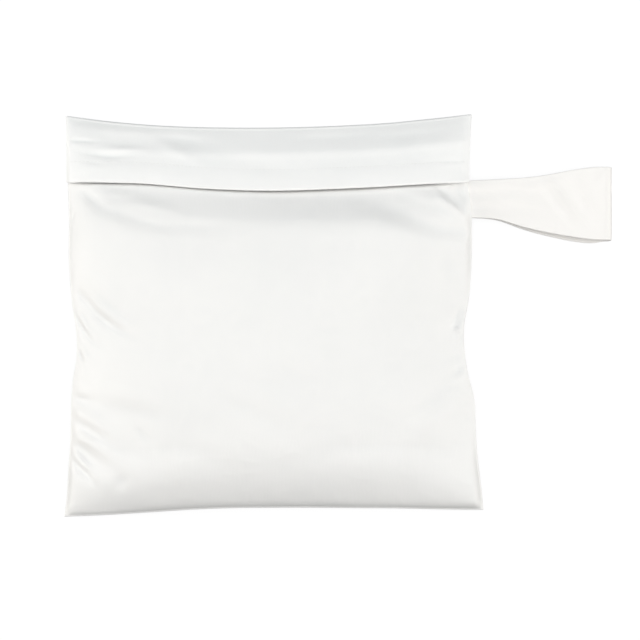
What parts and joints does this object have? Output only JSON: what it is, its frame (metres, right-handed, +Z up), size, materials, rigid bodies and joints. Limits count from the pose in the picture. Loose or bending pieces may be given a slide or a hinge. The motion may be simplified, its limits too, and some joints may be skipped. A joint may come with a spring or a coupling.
{
  "type": "cloth diaper wet bag",
  "caption": "Flat waterproof cloth pouch with a fold-over flap across its mouth and a strap loop sewn into its right side seam, lying on its back.",
  "frame": {"origin": "on the surface that the bag lies on, under the middle of the pouch", "axes": "+X towards the side seam with the strap loop, +Y towards the mouth and the flap, +Z up through the front panel"},
  "size_m": [0.3896, 0.288, 0.0386],
  "materials": {
    "pouch_cloth": "white laminated knit cloth, soft satin",
    "flap_cloth": "white laminated knit cloth, soft satin",
    "strap_cloth": "white laminated knit cloth, soft satin"
  },
  "bodies": {
    "root": {"front_panel": "pouch_cloth", "back_panel": "pouch_cloth", "flap": "flap_cloth", "strap_loop": "strap_cloth"}
  },
  "joints": []
}
